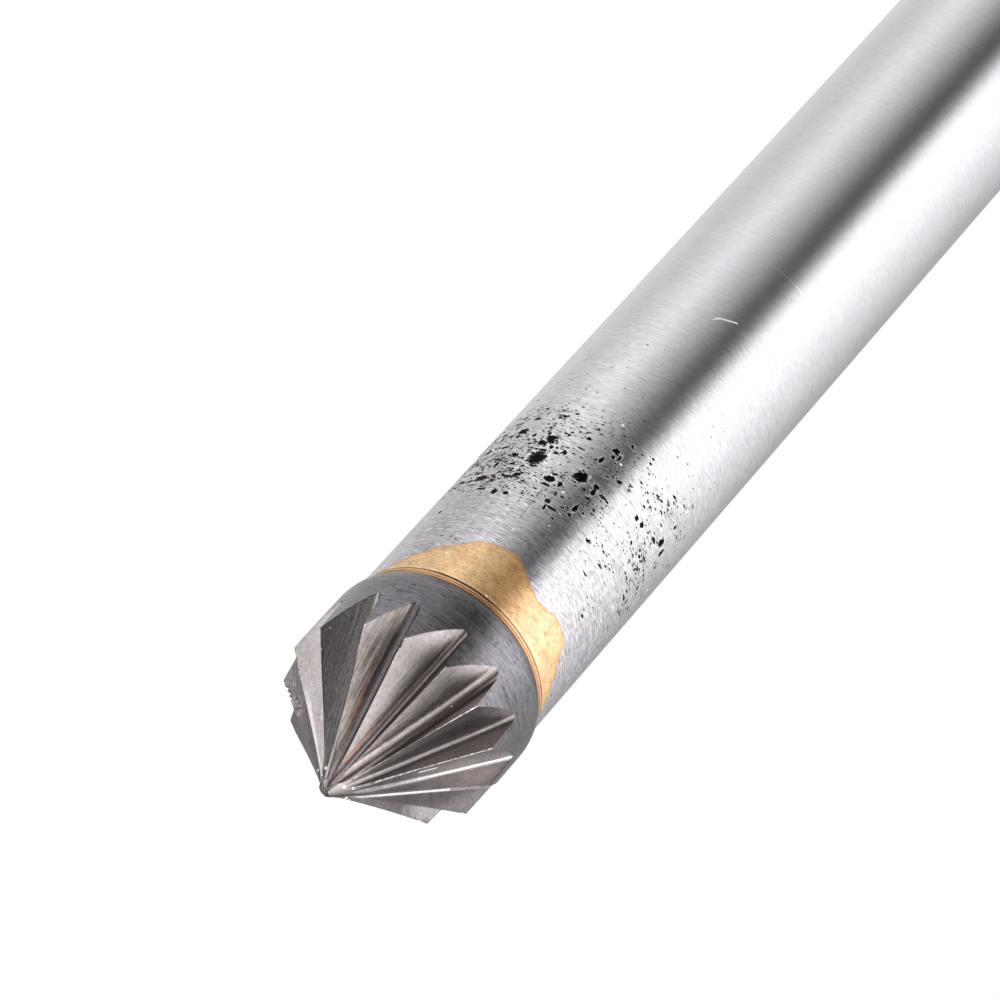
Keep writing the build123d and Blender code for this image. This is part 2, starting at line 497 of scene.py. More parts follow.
# %% Set the steel and braze finish
STEEL = rgba(0.665, 0.645, 0.676)
SCRATCH = rgba(0.10, 0.09, 0.09)
RUST_BLACK = rgba(0.012, 0.008, 0.008)
RUST_RED = rgba(0.060, 0.026, 0.020)
WHITE_DUST = rgba(0.86, 0.84, 0.82)
metal = braze.choose(STEEL, braze_paint).scaled(line_shade)
marked = (scratch * 0.6).choose(metal, SCRATCH)
marked = pits.choose(marked, red.choose(RUST_BLACK, RUST_RED))
rough = 0.25 + coarse * 0.04 + (lines - 0.5) * 0.30 * coarse + braze * 0.08 + cloud * 0.06
steel.set(
    Base_Color=dusty.choose(marked, WHITE_DUST),
    Metallic=(1 - dusty) * (1 - braze * 0.18),
    Roughness=rough + pits * 0.4 + dusty * 0.3,
    Anisotropic=0.8,
    Anisotropic_Rotation=0.25,
)
steel.bump(lines * 0.7 + hairs * 0.5 - pits * 2.5, 0.004)
print("ground_steel_and_braze has", len(steel.tree.nodes), "nodes")

# %% [markdown]
# ## The carbide finish
# Tungsten carbide is a dark grey metal. The turned band and the lands are dull and cool grey, with
# marks that run round the head. The flutes are ground brighter and warmer, with fine stripes along the
# wheel's path, and some of their bottoms are darker and browner, with a little copper.
# The finish has to know where the wheel cut, so it starts from the sizes of the uncut head: where that
# blank's surface lies above the shaded point, the point is in a flute.

# %% Sizes of the head
FLUTES = 15
PITCH = 360 / FLUTES
FIRST_FLUTE = 0.9  # the bearing of its bottom
CUTTING_SPREAD = 3.5  # degrees from a tooth's cutting edge to the bottom of its flute
POINT_ANGLE = 87
CONE_SLOPE = tan(radians(POINT_ANGLE / 2))
POINT_FLAT = 0.05 * MM  # the radius of the flat on the point
BRAZE_THICKNESS = 0.105 * MM
BACK_ROUND = 0.30 * MM  # the length over which the back of the head is rounded
BACK_DROP = 0.050 * MM  # how far that round comes down
print("a flute every", PITCH, "degrees")

# %% Where a point is in its flute
carbide = Finish("ground_carbide")
turn = (carbide.bearing - (FIRST_FLUTE - CUTTING_SPREAD)) / PITCH
flute_number = turn.floor()
in_flute = (turn - flute_number) * PITCH - CUTTING_SPREAD
across_flute = carbide.radius * (in_flute * radians(1)).sin()
below_tip = TIP_HEIGHT / MM - carbide.z
above_back = (BRAZE_THICKNESS + BACK_ROUND) / MM - carbide.height
to_back = above_back.most(0.0) / (BACK_ROUND / MM)
plain_radius = HEAD_RADIUS / MM - to_back.power(3.0) * (BACK_DROP / MM)
blank_radius = (below_tip * CONE_SLOPE + POINT_FLAT / MM).least(plain_radius)
depth = blank_radius - carbide.radius
on_point = carbide.height.step(1.40, 1.44)  # the shoulder is 1.42 mm above the joint
flute = depth.step(0.004, 0.014).most(on_point)


def only_flute(number, low=-1.0, high=4.0):
    """One in one flute, from low to high millimetres below the point."""
    this = abs(flute_number - number).step(0.6, 0.4)
    return this * below_tip.step(low - 0.1, low + 0.1) * below_tip.step(high + 0.1, high - 0.1)


print("carbide so far has", len(carbide.tree.nodes), "nodes")

# %% [markdown]
# ### Grinding marks and grit
# The noise is stretched the way each surface was ground: round the band, and along each flute. Every
# flute has its own slice of the noise, because the wheel never leaves the same stripes twice.

# %% Patterns on the carbide
band_lines = carbide.round_noise(3.5, 26.0, detail=4.0, roughness=0.7)
band_cloud = carbide.round_noise(1.3, 1.6, detail=4.0, roughness=0.6, shift=5.0)
grit = carbide.round_noise(16.0, 20.0, detail=3.0, roughness=0.7, shift=8.0)
crumbs = carbide.round_noise(26.0, 26.0, detail=3.0, roughness=0.7, shift=2.0)
stripe_place = carbide.vector(across_flute * 55.0, flute_number * 7.3, below_tip * 1.8)
stripes = stripe_place.noise(4.0, 0.7)
mottle_place = carbide.vector(across_flute * 9.0, flute_number * 3.1, below_tip * 5.0)
mottle = mottle_place.noise(5.0, 0.7)
print("carbide so far has", len(carbide.tree.nodes), "nodes")

# %% [markdown]
# ### Dark bottoms and copper in the flutes
# The bottoms of the front flutes are darker and browner. The one in front is also streaked brown and
# bright on its open face, has painted shade on its steep one, and a thin broken trail of copper runs
# along its root.

# %% Darken the front flutes' bottoms and paint shade on the steep face
FLUTE = rgba(0.300, 0.274, 0.272)
DARK_BOTTOM = rgba(0.165, 0.132, 0.124)
COPPER = rgba(0.38, 0.155, 0.075)
BROWN_STREAK = rgba(0.17, 0.125, 0.105)
BRIGHT_STREAK = rgba(0.40, 0.365, 0.335)
STEEP_FACE_SHADE = rgba(0.085, 0.078, 0.088)
# The front flutes get darker and browner towards their bottoms.
near_bottom = (across_flute + (mottle - 0.5) * 0.22).step(0.20, 0.06)
darker_bottoms = only_flute(1) * 0.9 + only_flute(0) * 0.7 + only_flute(-1) * 0.6 + only_flute(-2) * 0.3
flute_paint = (near_bottom * darker_bottoms).choose(FLUTE, DARK_BOTTOM)
streaky = only_flute(1) * across_flute.step(0.02, 0.14) * across_flute.step(0.50, 0.30)
streak_paint = stripes.step(0.36, 0.64).choose(BROWN_STREAK, BRIGHT_STREAK)
flute_paint = (streaky * 0.85).choose(flute_paint, streak_paint)
root_side = (below_tip * 0.14).least(0.17)
# Painted shade: the steep face of the front flute is painted dark.
steep_side_shade = (across_flute - root_side + (mottle - 0.5) * 0.05).step(0.012, -0.012)
flute_paint = (only_flute(1) * steep_side_shade * 0.85).choose(flute_paint, STEEP_FACE_SHADE)
from_root = across_flute + (mottle - 0.5) * 0.12 - 0.105 - only_flute(1) * (root_side - 0.085)
trail = from_root.near(0.0, 0.034, 0.006)
copper_run = only_flute(1, 0.55, 1.25) + only_flute(0, 0.30, 1.05) + only_flute(1, 1.25, 1.75) * 0.35
copper = trail * copper_run * mottle.step(0.38, 0.56) * grit.step(0.30, 0.50)
flute_paint = (copper.least(1.0) * 0.75).choose(flute_paint, COPPER)
print("carbide so far has", len(carbide.tree.nodes), "nodes")

# %% [markdown]
# ### Painted root highlights and painted light on the flutes
# One flute's root has a painted highlight, with a second thin painted highlight beside it. Each flute
# is given its own brightness as painted light and shade, one is painted darker towards the point, and
# two get painted shade on their steep sides near where the wheel ran out of them.

# %% Paint the root highlights, and light and shade on the flutes
# Painted highlight along the root of one flute, and a thin one beside it.
ROOT_HIGHLIGHT = rgba(0.80, 0.77, 0.77)
# Painted light and shade on each flute: its number and its brightness.
FLUTE_PAINTED_LIGHT = {1: 1.12, -1: 1.35, -2: 0.85, -4: 0.52, -5: 0.60, -6: 0.55}
root_fade = below_tip.step(0.3, 1.2, 0.3, 1.0)
root_highlight = only_flute(-3) * across_flute.near(-0.020, 0.020) * root_fade
thin_root_highlight = carbide.gap_to((-0.30, 0.053, 2.73), (-1.165, 0.188, 1.40)).step(0.020, 0.004)
root_highlight = root_highlight.most(thin_root_highlight * below_tip.step(0.2, 0.9, 0.35, 0.9))
flute_paint = (root_highlight * 0.9).choose(flute_paint, ROOT_HIGHLIGHT)
stripe_shade = 1 + (stripes - 0.5) * 0.55 + (mottle - 0.5) * 0.5 + (grit - 0.5) * 0.9
for number, tone in FLUTE_PAINTED_LIGHT.items():
    stripe_shade = stripe_shade * (1 + only_flute(number) * (1 - root_highlight) * (tone - 1))
# Painted light along one flute: darker near the point and lighter further back.
stripe_shade = stripe_shade * (1 + only_flute(-3) * below_tip.step(0.5, 1.7, -0.40, 0.20))
# Painted shade on the steep sides of two flutes, near where the wheel ran out of them.
runout_shade = (only_flute(2, 1.6) + only_flute(3, 1.6)) * across_flute.step(0.03, -0.02)
flute_paint = flute_paint.scaled(stripe_shade * (1 - runout_shade * 0.55))
print("carbide so far has", len(carbide.tree.nodes), "nodes")

# %% [markdown]
# ### The plain band and the painted edge highlights
# The band round the back of the head is duller, full of small nicks, and dark at its rim, and its
# brightness round the head is painted light and shade. The teeth's edges get a painted highlight: its
# mask is the uncut skin of the cone, broken up by grit, and one worn tooth has a wider strip of it.

# %% Paint the band and the edges
BAND = rgba(0.206, 0.200, 0.216)
# Painted highlight for the teeth's edges.
EDGE_HIGHLIGHT = rgba(0.62, 0.59, 0.59)
# Painted light and shade round the band: a bearing and its brightness.
BAND_PAINTED_LIGHT = [
    (-60, 0.85), (-44, 0.88), (-32, 1.15), (-20, 1.30), (-6, 1.05), (4, 0.9), (12, 0.72),
    (28, 0.75), (42, 1.05), (58, 1.0), (70, 0.88),
]
rim = 1 - carbide.height.step(0.24, 0.12) * 0.35
nicks = carbide.scattered(9.0, 24.0, 0.30, 0.08, 0.34, (grit - 0.5) * 0.5, 5.3)
band_shade = 1 + (band_lines - 0.5) * 1.9 + (band_cloud - 0.5) * 0.6 + (grit - 0.5) * 0.9
# The band's brightness round the head is painted light and shade.
band_shade = band_shade * carbide.bearing.around(BAND_PAINTED_LIGHT, 1.5) * rim * (1 - nicks * 0.5)
paint = flute.choose(band_shade.tinting(BAND), flute_paint)
# Painted highlight along the teeth's edges, on the uncut skin of the cone.
skin = depth.step(0.022, 0.0) * on_point * grit.step(0.40, 0.56) * below_tip.step(0.3, 0.5)
# One worn tooth gets a wider strip of the painted edge highlight.
worn = carbide.bearing + (mottle - 0.5) * 3.0
worn = worn.step(91.2, 91.8) * worn.step(95.0, 94.0)
worn = worn * below_tip.step(0.2, 0.35) * below_tip.step(1.25, 0.95)
paint = (skin.most(worn) * 0.5).choose(paint, EDGE_HIGHLIGHT)
print("carbide so far has", len(carbide.tree.nodes), "nodes")

# %% [markdown]
# ### Dust on the head
# White specks of dust cling to the point and the corners, and one short fibre lies in a flute. Each
# speck is a place in space and a size, so it stays round on whatever face it happens to sit.

# %% Place the dust
# Each speck is x, y, the height above the joint, and its size, in millimetres.
DUST = [
    (1.403, -0.610, 1.372, 0.024), (1.190, -0.502, 1.653, 0.016), (1.027, -0.455, 1.803, 0.013),
    (-0.469, -1.065, 1.405, 0.018), (-0.353, -0.661, 2.251, 0.012), (-0.119, -0.162, 2.881, 0.026),
    (-0.223, -0.165, 2.801, 0.019), (-0.207, -0.418, 2.569, 0.013), (0.219, -0.091, 2.787, 0.024),
    (0.197, 0.009, 2.836, 0.015), (0.279, 0.132, 2.710, 0.020), (1.266, 0.575, 1.480, 0.016),
    (-0.235, 0.167, 2.710, 0.026), (-0.281, 0.212, 2.669, 0.015), (-1.168, 0.184, 1.390, 0.020),
]
HEAD_DUST = rgba(0.88, 0.87, 0.86)
from_speck = None
for x, y, height, size in DUST:
    gap = carbide.place.distance_to((x, y, height + JOINT_HEIGHT / MM)) / size
    from_speck = gap if from_speck is None else from_speck.least(gap)
speck = (from_speck + (grit - 0.5) * 0.8).step(1.15, 0.75)
from_fibre = carbide.gap_to((-0.727, -0.441, 2.064), (-0.848, -0.499, 1.878))
speck = speck.most(from_fibre.step(0.030, 0.020))
paint = speck.choose(paint, HEAD_DUST)
print("specks of dust", len(DUST))

# %% [markdown]
# ### Crushed and pale patches
# Near one corner an edge was crushed into crumbs: some black, some copper coloured, most of them pale.
# Another tooth has a pale, matt patch with dark crumbs in it. Both are masks round a short line, with
# fine noise to sort the crumbs. Loose grains shine less than ground metal, so they lose Metallic too.

# %% Paint the patches
BLACK_CRUMB = rgba(0.06, 0.045, 0.045)
COPPER_CRUMB = rgba(0.42, 0.17, 0.08)
PALE_CRUMB = rgba(0.62, 0.59, 0.57)
PALE_PATCH = rgba(0.55, 0.53, 0.53)
DARK_CRUMB = rgba(0.07, 0.055, 0.055)
crushed = carbide.gap_to((1.115, 0.525, 1.72), (0.985, 0.475, 1.86)).step(0.11, 0.04)
light_crumbs = crushed * crumbs.step(0.49, 0.58)
paint = (crushed * crumbs.step(0.46, 0.38) * 0.6).choose(paint, BLACK_CRUMB)
paint = (crushed * grit.step(0.54, 0.62) * 0.5).choose(paint, COPPER_CRUMB)
paint = light_crumbs.choose(paint, PALE_CRUMB)
pale = carbide.gap_to((-0.96, 0.71, 1.72), (-1.25, 0.91, 1.22)).step(0.15, 0.05)
pale = pale * mottle.step(0.25, 0.60)
paint = (pale * 0.7).choose(paint, PALE_PATCH)
paint = (pale * crumbs.step(0.43, 0.36) * 0.6).choose(paint, DARK_CRUMB)
not_metal = speck.most(light_crumbs * 0.5).most(pale * 0.3)
print("carbide so far has", len(carbide.tree.nodes), "nodes")

# %% [markdown]
# ### Band, flutes and dust together
# The paint is finished, so it goes into the shader with what shines: ground metal everywhere but on
# the dust and the crumbs. The relief has the lines round the band and the stripes along the flutes.

# %% Set the carbide finish
band_rough = (band_lines - 0.5) * 0.2 * (1 - flute)
flute_rough = (stripes - 0.5) * 0.15 * flute - flute * 0.04
carbide.set(
    Base_Color=paint,
    # The painted root highlight is also made less metallic, so that it stays bright.
    Metallic=(1 - not_metal) * (1 - root_highlight * 0.6),
    Roughness=0.34 + band_rough + flute_rough,
)
carbide.bump(band_lines * (1 - flute) + stripes * flute * (1 + streaky) + grit * 0.25, 0.004)
print("ground_carbide has", len(carbide.tree.nodes), "nodes")

# %% [markdown]
# ## Turned blanks
# The shank, the braze and the head's blank are all turned, so one helper makes them: it starts from a
# filled circle and, like stacking rings, extrudes the top face up and resizes it once for each step of
# the outline. Straight stretches need no rings between, and a round needs only a few.

# %% Turn a blank
def deselect():
    bpy.ops.object.select_all(action="DESELECT")


def turned(name, outline, sides):
    """A solid of revolution from (height, radius) pairs in metres, from the bottom up."""
    deselect()
    height, radius = outline[0]
    bpy.ops.mesh.primitive_circle_add(
        vertices=sides, radius=radius, fill_type="NGON", location=(0, 0, height)
    )
    piece = bpy.context.object
    piece.name = name
    piece.data.name = name
    bpy.ops.object.transform_apply()
    bpy.ops.object.mode_set(mode="EDIT")
    bpy.ops.mesh.select_all(action="SELECT")
    for next_height, next_radius in outline[1:]:
        rise = {"value": (0, 0, next_height - height)}
        bpy.ops.mesh.extrude_region_move(TRANSFORM_OT_translate=rise)
        grow = next_radius / radius
        bpy.ops.transform.resize(value=(grow, grow, 1), center_override=(0, 0, next_height))
        height, radius = next_height, next_radius
    bpy.ops.mesh.select_all(action="SELECT")
    bpy.ops.mesh.normals_make_consistent(inside=False)
    bpy.ops.object.mode_set(mode="OBJECT")
    print(name, "has", len(piece.data.polygons), "faces")
    return piece


# %% [markdown]
# ## Cutting, shading and handing over
# One boolean can take many tools at once when they are in a collection, which is both quicker and
# safer than one after another where the tools overlap. A turned or ground piece is smooth round its
# barrel and sharp at its edges, so the shading is split by angle. Each finished piece then gets its
# material and the body it rides on, and the CAD node that it stands for is hidden.

# %% Cut, shade and hand over
def make_active(piece):
    deselect()
    bpy.context.view_layer.objects.active = piece
    piece.select_set(True)


def cut(piece, tools, operation="DIFFERENCE"):
    """Cuts one solid with others, all at once, and throws the cutting solids away."""
    group = bpy.data.collections.new("tools")
    for tool in tools:
        group.objects.link(tool)
    modifier = piece.modifiers.new("cut", "BOOLEAN")
    modifier.operation = operation
    modifier.solver = "EXACT"
    modifier.operand_type = "COLLECTION"
    modifier.collection = group
    make_active(piece)
    bpy.ops.object.modifier_apply(modifier=modifier.name)
    for tool in tools:
        bpy.data.objects.remove(tool)
    bpy.data.collections.remove(group)


def shade(piece, sharpest):
    """Smooth shading, except across edges that turn by more than so many degrees."""
    make_active(piece)
    bpy.ops.object.shade_smooth_by_angle(angle=radians(sharpest))


def finish_piece(piece, node, material):
    piece.data.materials.clear()
    piece.data.materials.append(material)
    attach(piece, "root")
    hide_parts(node)
    print(piece.name, "stands for", node, "with", len(piece.data.polygons), "faces")


# %% [markdown]
# ## The steel shank
# A plain round bar with a small chamfer where it goes into the collet. Its other end was turned to a
# slight taper, a little off centre, and braze ran into the low side before the whole bar was ground
# round. So the bar is kept where it lies inside an off-centre cone, and the braze is the rest.

# %% Shape of the end of the bar
TURN_SIDES = 320
CHAMFER = 0.25 * MM
WASH_DEPTH = 0.15 * MM
WASH_SPREAD = 140
WASH_BEARING = 5
wash_length = JOINT_HEIGHT - braze_low.z
wash_offset = WASH_DEPTH / (1 - cos(radians(WASH_SPREAD / 2)))
wash_taper = WASH_DEPTH / wash_length
band_start = JOINT_HEIGHT - 1.5 * wash_length


def bearing_vector(bearing):
    """The level direction on a bearing, counted from -Y towards +X."""
    return Vector((sin(radians(bearing)), -cos(radians(bearing)), 0))


def tapered_end(start, end):
    """The off-centre cone that the end of the bar was turned to, between two heights."""
    end_radius = SHANK_RADIUS + wash_offset - WASH_DEPTH
    radii = [end_radius + (JOINT_HEIGHT - height) * wash_taper for height in (start, end)]
    cone = turned("tapered_end", [(start, radii[0]), (end, radii[1])], TURN_SIDES)
    cone.location = bearing_vector(WASH_BEARING) * -wash_offset
    return cone


print("the wash runs", wash_length, "down the shank, its cone is", wash_offset, "off centre")

# %% Model the shank
shank_outline = [
    (0, SHANK_RADIUS - CHAMFER),
    (CHAMFER, SHANK_RADIUS),
    (band_start, SHANK_RADIUS),
    (JOINT_HEIGHT, SHANK_RADIUS),
]
shank = turned("shank", shank_outline, TURN_SIDES)
cut(shank, [tapered_end(-MM, JOINT_HEIGHT + MM)], "INTERSECT")
shade(shank, 4)
finish_piece(shank, "steel_shank", steel.material)

# %% [markdown]
# ## The braze
# The braze is the ring between steel and carbide and the wash beside it. Its blank is turned as a
# whole ring, with two shallow grooves where the joint was trimmed, and the same off-centre cone then
# takes the steel's share out of it, so that the two pieces meet without a gap.

# %% Model the braze
# Each groove is a height above the joint and a depth, in millimetres.
GROOVES = [(0.016, 0.010), (0.058, 0.014)]
ABOVE_GROOVE, BELOW_GROOVE = 0.014, 0.012
ring_outline = [(band_start, SHANK_RADIUS), (JOINT_HEIGHT, SHANK_RADIUS)]
for height, groove_depth in GROOVES:
    for offset, drop in ((-BELOW_GROOVE, 0), (0, groove_depth), (ABOVE_GROOVE, 0)):
        ring_outline.append((JOINT_HEIGHT + (height + offset) * MM, SHANK_RADIUS - drop * MM))
ring_outline.append((JOINT_HEIGHT + BRAZE_THICKNESS, SHANK_RADIUS))
braze_ring = turned("braze_ring", ring_outline, TURN_SIDES)
cut(braze_ring, [tapered_end(band_start - MM, JOINT_HEIGHT)])
shade(braze_ring, 4)
finish_piece(braze_ring, "braze_joint", steel.material)

# %% [markdown]
# ## The carbide head
# The head starts as a turned blank: a short round at its back, a plain band, and a blunt cone. The
# round is a cubic curve, steep at the braze and flat where it runs into the band.

# %% Turn the head's blank
SHOULDER = TIP_HEIGHT - (HEAD_RADIUS - POINT_FLAT) / CONE_SLOPE
HEAD_BACK = JOINT_HEIGHT + BRAZE_THICKNESS
ROUND_STEPS = 10
head_outline = []
for number in range(ROUND_STEPS + 1):
    share = number / ROUND_STEPS
    drop = BACK_DROP * (1 - share) ** 3
    head_outline.append((HEAD_BACK + BACK_ROUND * share, HEAD_RADIUS - drop))
head_outline += [(SHOULDER, HEAD_RADIUS), (TIP_HEIGHT, POINT_FLAT)]
head = turned("head", head_outline, TURN_SIDES)

# %% [markdown]
# ### Where each flute is ground
# A wheel with a V edge grinds each flute in one straight pass, from just under the point, through the
# shoulder and out of the band. One side of the V leaves a tooth's cutting edge, the other its back.
# The wheel wore and was dressed again between passes, so the flutes differ: most have a line of their
# own in a table, and the others follow the even one.

# %% Direction of the pass and shape of the flutes
POINT = Vector((0, 0, TIP_HEIGHT))
RUNOUT = 0.78 * MM  # how far behind the shoulder the wheel's path leaves the head
WAY_OUT = Vector((0, -HEAD_RADIUS, SHOULDER - RUNOUT))
ALONG = (WAY_OUT - POINT).normalized()
SIDEWAYS = Vector((1, 0, 0))
OUTWARD = Vector((0, ALONG.z, -ALONG.y))
LAND = 0.02 * MM  # the uncut strip along each tooth's edge
HALF_LAND = degrees(LAND / HEAD_RADIUS) / 2
# How far a flute's bottom is turned, how much shallower it is and its root radius, in degrees and
# millimetres, and then the spread in degrees of its cutting side and of its back.
EVEN = (0.0, 0.0, 0.07, CUTTING_SPREAD, PITCH - CUTTING_SPREAD)
UNEVEN = {
    0: (-1.0, -0.01, 0.080, 2.5, 21.5),
    1: (2.2, -0.04, 0.110, 5.7, 16.5),
    2: (0.6, 0.0, 0.070, 6.2, 20.7),
    3: (0.0, 0.0, 0.060, 2.7, 20.5),
    8: (-2.0, 0.0, 0.070, 3.5, 21.0),
    9: (-5.0, 0.0, 0.070, 3.5, 21.5),
    10: (-4.8, -0.01, 0.070, 3.5, 23.2),
    11: (-4.0, 0.03, 0.060, 2.7, 24.5),
    12: (-1.8, 0.065, 0.055, 1.7, 22.3),
    13: (-1.8, 0.045, 0.065, 1.7, 22.3),
    14: (-1.5, -0.02, 0.110, 2.0, 22.0),
}


def side_of_v(spread, lift):
    """The direction across the flute from its bottom to a tooth's edge, at the shoulder."""
    edge = bearing_vector(spread) * HEAD_RADIUS + Vector((0, 0, SHOULDER)) - POINT
    return Vector((edge.dot(SIDEWAYS), edge.dot(OUTWARD) - lift))


print("the wheel's path falls", degrees(acos(-ALONG.z)), "degrees from the axis")

# %% [markdown]
# ### Section of the wheel
# The section has a round of the root's radius between its two sides. The cutting side is flat, and the
# back is a little hollow, because the wheel is round and cuts deepest in the middle of a wide face.

# %% Round and hollow of the section
HOLLOW = 0.012 * MM
ARC_STEPS = 12
FACE_STEPS = 8


def root_arc(cutting, back, root, touch):
    """Points on the arc that touches both sides of the V, so far from its sharp bottom."""
    half_angle = acos(cutting.dot(back)) / 2
    middle = (cutting + back).normalized() * (root / sin(half_angle))
    start = cutting * touch - middle
    end = back * touch - middle
    first = atan2(start.y, start.x)
    swing = (atan2(end.y, end.x) - first + pi) % (2 * pi) - pi
    angles = [first + swing * step / ARC_STEPS for step in range(ARC_STEPS + 1)]
    return [middle + Vector((cos(angle), sin(angle))) * root for angle in angles]


def hollow_face(cutting, back, start, end):
    """Points along the back between two distances, sunk into the tooth in the middle."""
    into_tooth = Vector((-back.y, back.x))
    if into_tooth.dot(cutting) > 0:
        into_tooth = -into_tooth
    points = []
    for step in range(1, FACE_STEPS + 1):
        share = step / FACE_STEPS
        along = back * (start + (end - start) * share)
        points.append(along + into_tooth * HOLLOW * 4 * share * (1 - share))
    return points


print("section points for each flute", ARC_STEPS + FACE_STEPS + 3)

# %% [markdown]
# ### Sweep the wheel
# A wheel's pass is its section swept in a straight line. The section is drawn as by hand: one vertex
# is extruded from point to point, the outline is filled, and the face is extruded along the pass.

# %% Draw an outline and sweep it
def drawn(name, points, sweep):
    """Extrudes one vertex from point to point, fills the outline, and extrudes the face."""
    deselect()
    bpy.ops.mesh.primitive_plane_add(size=MM)
    piece = bpy.context.object
    piece.name = name
    bpy.ops.object.mode_set(mode="EDIT")
    bpy.ops.mesh.select_all(action="SELECT")
    bpy.ops.mesh.merge(type="CENTER")
    place = Vector(points[0])
    bpy.ops.transform.translate(value=place)
    for point in points[1:]:
        bpy.ops.mesh.extrude_vertices_move(TRANSFORM_OT_translate={"value": Vector(point) - place})
        place = Vector(point)
    bpy.ops.mesh.select_all(action="SELECT")
    bpy.ops.mesh.edge_face_add()
    bpy.ops.mesh.extrude_region_move(TRANSFORM_OT_translate={"value": sweep})
    bpy.ops.mesh.select_all(action="SELECT")
    bpy.ops.mesh.normals_make_consistent(inside=False)
    bpy.ops.object.mode_set(mode="OBJECT")
    return piece


# %% Grind the flutes
REACH = 2.2 * HEAD_RADIUS
RUN_IN = MM
PASS_LENGTH = 6  # millimetres


def wheel(number):
    """The V edge's sweep for one flute, long enough to clear the head at both ends."""
    turned_by, lift, root, cutting_spread, back_spread = UNEVEN.get(number, EVEN)
    lift *= MM
    root *= MM
    cutting = side_of_v(HALF_LAND - cutting_spread, lift).normalized()
    back_edge = side_of_v(back_spread - HALF_LAND, lift)
    back = back_edge.normalized()
    touch = root / tan(acos(cutting.dot(back)) / 2)
    section = [cutting * REACH]
    section += root_arc(cutting, back, root, touch)
    section += hollow_face(cutting, back, touch, back_edge.length)
    section.append(back * REACH)
    start = []
    for spot in section:
        start.append(POINT + SIDEWAYS * spot.x + OUTWARD * (spot.y + lift) - ALONG * RUN_IN)
    piece = drawn("wheel", start, ALONG * PASS_LENGTH * MM)
    piece.rotation_euler = (0, 0, radians(FIRST_FLUTE + number * PITCH + turned_by))
    bpy.context.view_layer.update()
    return piece


for number in range(FLUTES):
    cut(head, [wheel(number)])
print("head has", len(head.data.polygons), "faces after", FLUTES, "flutes")

# %% [markdown]
# ### Chips
# Carbide is hard and brittle, so its edges don't bend: they chip. Small balls are taken out of the
# teeth along their edges, most where the teeth are worn, and larger ones out of three corners. All
# the balls go into one cut, because many of them overlap.

# %% Where the teeth are chipped
# Each chip is a bearing, millimetres below the point, the ball's radius, and how far it stands out.
CHIPS = [
    (117.4, 1.50, 0.062, 0.030), (117.2, 1.36, 0.055, 0.022), (116.8, 1.43, 0.050, 0.008),
    (-101.8, 1.60, 0.060, 0.020), (-127.4, 1.50, 0.090, 0.062), (-127.4, 1.30, 0.080, 0.060),
    (-124.0, 1.42, 0.050, 0.010), (-125.5, 1.25, 0.045, 0.005), (-123.0, 1.56, 0.040, 0.000),
    (-74.6, 1.10, 0.035, 0.010), (-50.6, 1.22, 0.030, 0.012), (-50.6, 1.55, 0.026, 0.012),
]
# Each worn edge is a bearing and how many small chips it has.
WORN_EDGES = {
    93.4: 14, 69.8: 6, 117.4: 9, 21.4: 6, -2.6: 5, -26.6: 5, -50.6: 7, -101.6: 6, -127.4: 8,
    141.4: 7, 165.4: 5,
}
FIRST_CHIP, CHIPPED_LENGTH = 0.25, 1.3
SMALLEST_CHIP, LARGEST_CHIP = 0.018, 0.036
LEAST_PROUD, MOST_PROUD = 0.35, 0.75
INSIDE_HEAD = Vector((0, 0, TIP_HEIGHT - 3 * MM))


def on_cone(bearing, below):
    """The place on the uncut cone at this bearing, so many millimetres below the point."""
    radius = min(below * MM * CONE_SLOPE + POINT_FLAT, HEAD_RADIUS)
    return bearing_vector(bearing) * radius + Vector((0, 0, TIP_HEIGHT - below * MM))


def ball(place, radius, fineness=2):
    bpy.ops.mesh.primitive_ico_sphere_add(subdivisions=fineness, radius=radius, location=place)
    return bpy.context.object


print("large chips", len(CHIPS), "small chips", sum(WORN_EDGES.values()))

# %% Chip the teeth
deselect()
draw = random.Random(15)
balls = []
for bearing, below, radius, lift in CHIPS:
    place = on_cone(bearing, below)
    outward = (place - INSIDE_HEAD).normalized()
    balls.append(ball(place + outward * lift * MM, radius * MM))
for bearing, count in WORN_EDGES.items():
    for number in range(count):
        below = FIRST_CHIP + CHIPPED_LENGTH * (number + draw.random()) / count
        place = on_cone(bearing, below)
        outward = (place - INSIDE_HEAD).normalized()
        size = draw.uniform(SMALLEST_CHIP, LARGEST_CHIP)
        proud = outward * size * draw.uniform(LEAST_PROUD, MOST_PROUD) * MM
        balls.append(ball(place + proud, size * MM, 1))
cut(head, balls)
print("head has", len(head.data.polygons), "faces after", len(balls), "chips")

# %% [markdown]
# ### Blunt point
# Fifteen flutes meet in a point too thin to last, so it wears to a small round knob, a little to one
# side. A ball joined to the head gives it.

# %% Blunt the point
KNOB_RADIUS = 0.130 * MM
KNOB_DEPTH = 0.125 * MM
KNOB_OFFSET = 0.030  # millimetres
KNOB_BEARING = 85
knob_place = POINT + bearing_vector(KNOB_BEARING) * KNOB_OFFSET * MM - Vector((0, 0, KNOB_DEPTH))
knob = ball(knob_place, KNOB_RADIUS)
bpy.ops.object.transform_apply()
cut(head, [knob], "UNION")
shade(head, 12)
finish_piece(head, "carbide_head", carbide.material)

# %% [markdown]
# ## Floor and light
# Polished metal shows its surroundings more than its own colour, so the studio round it matters more
# than any lamp. Here it is a plain pale floor and a room of soft light, with bright and dark screens
# standing round the tool. Only reflections see the screens: the camera sees white behind the tool.

